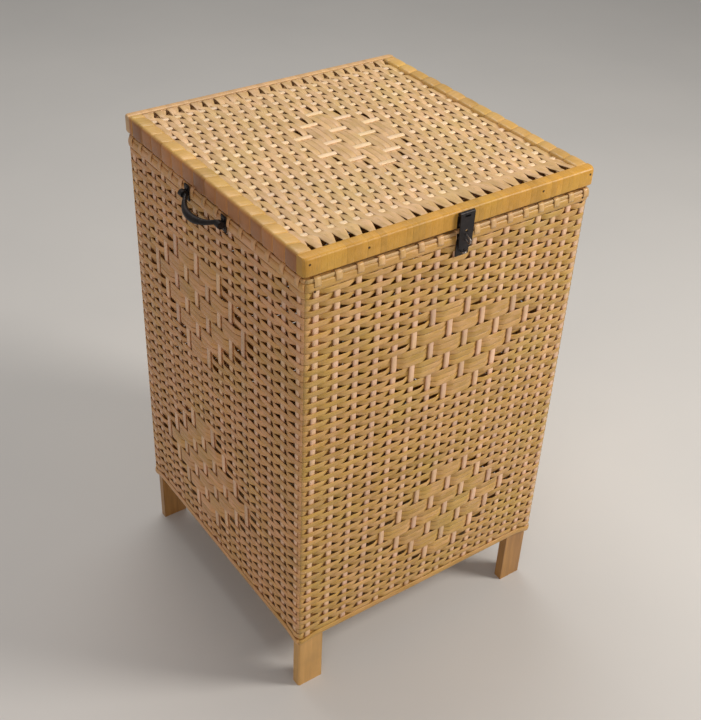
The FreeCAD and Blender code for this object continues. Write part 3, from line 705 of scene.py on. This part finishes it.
def make_lid_weavers(rng):
    """The lid's flat strips, front to back, with the holes along its front and back edges."""
    strips = Strips()
    signs = lid_signs()
    places = lid_rows()
    inner = stations(-places[1:-1], -places[0], -places[-1], STATIONS)
    front_end = np.arange(-places[-1] + 3.0, LID_END, 3.0)
    back_end = np.arange(places[0] + 2.0, LID_END, 2.0)
    s = np.concatenate([-back_end[::-1], inner, front_end])
    held = np.clip(s, -places[0], -places[-1])
    past = smooth(np.abs(s - held) / SETTLE)
    well = np.clip(s - LID_WELL, -places[0], -places[-1])
    to_rail = np.clip((s - HOLE_TIP) / (HOLE_BASE - HOLE_TIP), 0, 1)
    lean = LEAN * smooth((s - LEAN_FROM) / LEAN_LENGTH)
    closing = np.clip((-s - BACK_BASE) / BACK_BASE_LENGTH, 0, 1)
    opened = smooth((-s - BACK_TIP) / BACK_TIP_LENGTH) * (1 - closing)
    climb = smooth((np.abs(s) - CLIMB_FROM) / CLIMB_LENGTH)
    for k in range(-1, LID_WEAVERS + 1):
        line = signs[:, k % LID_WEAVERS]
        lift = lift_between(line, -places, held, LID_OVER, LID_UNDER)
        lift = lift * (1 - past) + LID_OVER * past
        raised = lift_between(line, -places, well, 1.0, 0.0) * (1 - past) + past
        unlike_left = signs[:, (k - 1) % LID_WEAVERS] != line
        unlike_right = signs[:, (k + 1) % LID_WEAVERS] != line
        alone = np.where(line < 0, unlike_left & unlike_right, 1.0)
        pinch = LID_PINCH * np.interp(held - LID_WELL, -places, alone) * (1 - raised)
        right_of_hole = k % 2 == 0
        hole = (k + 1) // 2
        width, push = FRONT_HOLES[min(hole, len(FRONT_HOLES) - 1)]
        width *= rng.uniform(0.9, 1.05)
        back_width = BACK_THIN_HOLE if hole in BACK_THIN else BACK_HOLE * rng.uniform(0.85, 1.1)
        shift = lean + (push if right_of_hole else -width) * to_rail
        shift = shift - (0.0 if right_of_hole else back_width) * opened
        shift = shift - LID_PITCH / 2 * pinch
        strip_width = LID_PITCH * (1.06 - pinch)
        if k == 0:
            for place in EDGE_SLOTS:
                strip_width = strip_width - SLOT_DEPTH * np.exp(-((s + place) / SLOT_REACH) ** 2)
        top = LID_TOP - TOP_BESIDE_HOLE[0 if right_of_hole else 1]
        z = (LID_MID + lift) * (1 - climb) + top * climb
        x = -LID_X + LID_PITCH * (k + 0.5) + shift + 0.15 * np.sin(s / 23.0 + k * 1.7)
        path = np.stack([x, -s, z], -1)
        strips.strip(path, UP, strip_width, LID_STRIP_THICKNESS, lid_tones[k % LID_WEAVERS],
                     start=k * LID_START)
    return strips


def make_lid_stakes(rng):
    """The lid's cross strips, which show between the weavers."""
    strips = Strips()
    signs = lid_signs()
    x = np.arange(-LID_X - 3.0, LID_X + 3.1, LID_PITCH / 2)
    weaver = (x + LID_X) / LID_PITCH - 0.5
    for i, y in enumerate(lid_rows()):
        push = LID_STAKE_REST - LID_STAKE_PUSH * np.interp(weaver, np.arange(LID_WEAVERS), signs[i])
        sway = 0.4 * np.sin(x / rng.uniform(60, 120) + rng.uniform(0, 6))
        path = np.stack([x, y + sway, LID_MID + push], -1)
        wide = i in WIDE_LID_STAKES
        tone = 1.0 if wide else rng.uniform(0.1, 0.8)
        strips.strip(path, UP, WIDE_LID_STAKE if wide else LID_STAKE_WIDTH, STAKE_THICKNESS, tone,
                     start=i * STAKE_START)
    return strips


# ---- the windings round the lid's rails ----
ARC_POINTS = 6                # on each corner of the section
# Shares of a band's width where it has a ring, close together at the seams
BAND_STEPS = (0.0, 0.015, 0.04, 0.1, 0.22, 0.36, 0.5, 0.64, 0.78, 0.9, 0.96, 0.985)
GROOVE_WIDTH = 0.5
SLANT_FADE = 12.0             # the bands stand straight again this near a rail's ends
BAND_PATTERN = 9.0            # what a band's width counts as in the cane's pattern


def rounded_section(low, high, radii):
    """Ring of a rectangle with its own radius at each corner, and the outward way at each point."""
    ring, ways = [], []
    corners = ((0, 0, 180), (1, 0, 270), (1, 1, 0), (0, 1, 90))
    for (ix, iy, angle), radius in zip(corners, radii):
        cx = (low[0] + radius, high[0] - radius)[ix]
        cy = (low[1] + radius, high[1] - radius)[iy]
        for step in range(ARC_POINTS):
            a = math.radians(angle + 90.0 * step / (ARC_POINTS - 1))
            way = (math.cos(a), math.sin(a))
            ring.append((cx + radius * way[0], cy + radius * way[1]))
            ways.append(way)
    return np.array(ring), np.array(ways)


def wrapped_rail(low, high, axis, seams, dome, groove, slant, radii, rng, corner=0.0):
    """A rail wound with flat bands, domed between the seams and grooved at them.

    slant is how far the bands lean across the rail, radii round the section's corners, and corner
    rounds the rail's two outer ends in plan.
    """
    strips = Strips()
    across = 1 - axis
    edges = np.concatenate([[low[axis]], seams, [high[axis]]])
    outer_is_low = abs(low[across]) > abs(high[across])
    rings, marks = [], []
    for a0, a1 in zip(edges[:-1], edges[1:]):
        tone = rng.uniform(0, 1)
        raised = rng.uniform(0.5, 1.0) * dome
        steps = BAND_STEPS if a1 < edges[-1] else BAND_STEPS + (1.0,)
        for t in steps:
            place = a0 + (a1 - a0) * t
            near = min(t, 1 - t) * (a1 - a0)
            offset = raised * (1 - abs(2 * t - 1) ** 3)
            offset -= groove * math.exp(-(near / GROOVE_WIDTH) ** 2)
            away = min(place - edges[0], edges[-1] - place)
            tuck = corner - math.sqrt(max(corner ** 2 - max(corner - away, 0.0) ** 2, 0.0))
            lo, hi = np.array((low[across], low[2])), np.array((high[across], high[2]))
            if outer_is_low:
                lo[0] += tuck
            else:
                hi[0] -= tuck
            ring, ways = rounded_section(lo, hi, radii)
            section = ring + ways * offset
            sheared = slant * (section[:, 0] - lo[0]) / (hi[0] - lo[0])
            ring3 = np.zeros((len(ring), 3))
            ring3[:, across] = section[:, 0]
            ring3[:, 2] = section[:, 1]
            ring3[:, axis] = place + sheared * min(away / SLANT_FADE, 1.0)
            rings.append(ring3)
            steps_round = np.linalg.norm(np.diff(ring, axis=0), axis=1)
            around = np.concatenate([[0.0], np.cumsum(steps_round)])
            on_band = np.full(len(ring), BAND_PATTERN * (t - 0.5))
            marks.append(np.stack([around, on_band, np.full(len(ring), tone)], -1))
    rings, marks = np.array(rings), np.array(marks)
    if axis == 1:
        rings, marks = rings[:, ::-1], marks[:, ::-1]
    strips.sweep(rings, marks)
    return strips


lid_tones = np.where(np.arange(LID_WEAVERS) % 2 == 0, 0.3, 0.75)
lid_tones = lid_tones + random_source.uniform(-0.25, 0.25, LID_WEAVERS)
make_lid_weavers(random_source).build("lid_weavers", "lid", [lid_cane], "woven_cane",
                                      "lid_woven_panel")
make_lid_stakes(random_source).build("lid_stakes", "lid", [lid_stake_cane], "woven_cane",
                                     "lid_woven_panel")

WRAP_INSET = 2.5              # how far the front winding reaches in over the weave
END_CORNER = 4.0              # matches the rail's corners
NAIL_PROUD = 0.2              # how far the nail heads stand out of the winding
END_DOME, END_GROOVE = 0.06, 0.12
SIDE_DOME, SIDE_GROOVE, SIDE_SLANT = 1.3, 0.6, -4.0
SEAM_WOBBLE = 1.2
SEAM_SHIFT = 1.5
LAST_SEAM = 12.0              # the outermost seams of the left and right, past the outer stakes
# Radii of the section's corners: low left, low right, high right, high left
END_RADII = {"front": (2.0, 2.0, 3.5, 4.0), "back": (2.0, 2.0, 4.0, 3.5)}
SIDE_RADII = {"left": (2.0, 2.0, 3.0, 3.8), "right": (2.0, 2.0, 3.8, 3.0)}


def build_wrap(rail, end, material):
    rail.build("lid_wrap_" + end, "lid", [material], "cane_binding", "lid_binding_" + end)


for end, material in (("front", end_cane), ("back", back_cane)):
    low, high = box_mm("lid_binding_" + end)
    if end == "front":
        high[1] += WRAP_INSET
        low[1] += NAIL_PROUD
    else:
        high[1] -= NAIL_PROUD
    gaps = random_source.uniform(-SEAM_WOBBLE, SEAM_WOBBLE, LID_WEAVERS)
    seams = np.arange(-LID_X, LID_X + 1, LID_PITCH)[:LID_WEAVERS] + gaps + SEAM_SHIFT
    build_wrap(wrapped_rail(low, high, 0, seams, END_DOME, END_GROOVE, 0.0, END_RADII[end],
                            random_source, END_CORNER), end, material)

rows = lid_rows()
side_seams = np.concatenate([[rows[0] + LAST_SEAM], (rows[1:] + rows[:-1]) / 2,
                             [rows[-1] - LAST_SEAM]])
# The left binding gets the copy with painted shade on its side faces, the right one the plain copy.
for end, material, slant in (("left", side_cane_painted_shade, SIDE_SLANT),
                             ("right", plain_side_cane, -SIDE_SLANT)):
    low, high = box_mm("lid_binding_" + end)
    build_wrap(wrapped_rail(low, high, 1, np.sort(side_seams), SIDE_DOME, SIDE_GROOVE, slant,
                            SIDE_RADII[end], random_source), end, material)


# ---- finishes of the CAD pieces that show as they are ----
def finish(prefixes, material):
    for node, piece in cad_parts.items():
        if node.startswith(prefixes):
            piece.data.materials.clear()
            piece.data.materials.append(material)


# The legs under the body take the copy with painted shade; the near front left leg keeps the lit
# colour.
finish(("leg_post",), painted_shade_leg_wood)
finish(("leg_post_front_left",), leg_wood)
finish(("top_rail_front", "top_rail_back", "bottom_rail_front", "bottom_rail_back",
        "lid_rail_front", "lid_rail_back"), rail_wood_x)
finish(("top_rail_left", "top_rail_right", "bottom_rail_left", "bottom_rail_right",
        "lid_rail_left", "lid_rail_right"), rail_wood_y)
finish(("base_board",), board_ply)
finish(("hinge_body_leaf", "hinge_lid_leaf", "hinge_pins", "hasp_leaf", "hasp_pin", "hasp_strap",
        "hasp_keeper", "handle_bail", "handle_clips"), black_iron)
finish(("hasp_eye", "hasp_staple"), bright_wire)
finish(("hinge_body_screws", "hinge_lid_screws", "hasp_leaf_screws", "hasp_keeper_screws",
        "handle_screws"), screw_steel)
finish(("rim_nails", "lid_nails"), nail_steel)


# ---- room ----
FLOOR_SIZE = 6.0              # metres, from the middle to each edge


def make_floor():
    mesh = bpy.data.meshes.new("floor")
    corners = [(x * FLOOR_SIZE, y * FLOOR_SIZE, 0) for x, y in ((-1, -1), (1, -1), (1, 1), (-1, 1))]
    mesh.from_pydata(corners, [], [(0, 1, 2, 3)])
    n = Nodes("floor_paper")
    place = n.add("ShaderNodeTexCoord").outputs["Object"]
    body = n.mix(n.noise(place, 3.0, 3.0), (0.62, 0.62, 0.62), (0.68, 0.675, 0.67))
    n.link(body, n.shader.inputs["Base Color"])
    n.set(Roughness=0.8)
    mesh.materials.append(n.material)
    floor = bpy.data.objects.new("floor", mesh)
    bpy.context.scene.collection.objects.link(floor)


def add_light(name, place, target, size, power, colour):
    data = bpy.data.lights.new(name, "AREA")
    data.shape = "DISK"
    data.size, data.energy, data.color = size, power, colour
    light = bpy.data.objects.new(name, data)
    light.location = place
    light.rotation_euler = (Vector(target) - Vector(place)).to_track_quat("-Z", "Y").to_euler()
    bpy.context.scene.collection.objects.link(light)


CAMERA_ANGLES = (36.32, 35.84, 2.67)          # degrees: right of +Y, down, and rolled
CAMERA_PLACE = (-0.6911, -0.9536, 1.1769)     # metres
LENS, SENSOR_WIDTH, SHIFT_Y = 57.25, 36.0, -0.0049


def make_camera():
    yaw, pitch, roll = (math.radians(a) for a in CAMERA_ANGLES)
    forward = Vector((math.sin(yaw) * math.cos(pitch), math.cos(yaw) * math.cos(pitch),
                      -math.sin(pitch)))
    level = Vector((math.cos(yaw), -math.sin(yaw), 0.0))
    upward = level.cross(forward)
    right = math.cos(roll) * level + math.sin(roll) * upward
    top = -math.sin(roll) * level + math.cos(roll) * upward
    data = bpy.data.cameras.new("camera")
    data.lens, data.sensor_width, data.shift_y = LENS, SENSOR_WIDTH, SHIFT_Y
    camera = bpy.data.objects.new("camera", data)
    camera.matrix_world = Matrix((
        (right.x, top.x, -forward.x, CAMERA_PLACE[0]),
        (right.y, top.y, -forward.y, CAMERA_PLACE[1]),
        (right.z, top.z, -forward.z, CAMERA_PLACE[2]),
        (0, 0, 0, 1)))
    bpy.context.scene.collection.objects.link(camera)
    bpy.context.scene.camera = camera


make_floor()
make_camera()
# Place and target in metres, the disc's width in metres, watts and colour
add_light("key", (1.3, -1.25, 1.6), (0, 0, 0.42), 0.62, 29, (1.0, 0.93, 0.84))
add_light("fill", (-1.6, -1.6, 1.5), (0, 0, 0.35), 1.2, 8, (1.0, 0.87, 0.85))
add_light("top", (0.2, 0.9, 2.6), (0, 0, 0.4), 1.6, 24, (1.0, 0.96, 0.9))
world = bpy.data.worlds.new("world")
world.use_nodes = True
background = world.node_tree.nodes["Background"]
background.inputs["Color"].default_value = (0.95, 0.91, 0.86, 1)
background.inputs["Strength"].default_value = 0.28
bpy.context.scene.world = world
bpy.context.scene.view_settings.view_transform = "Standard"
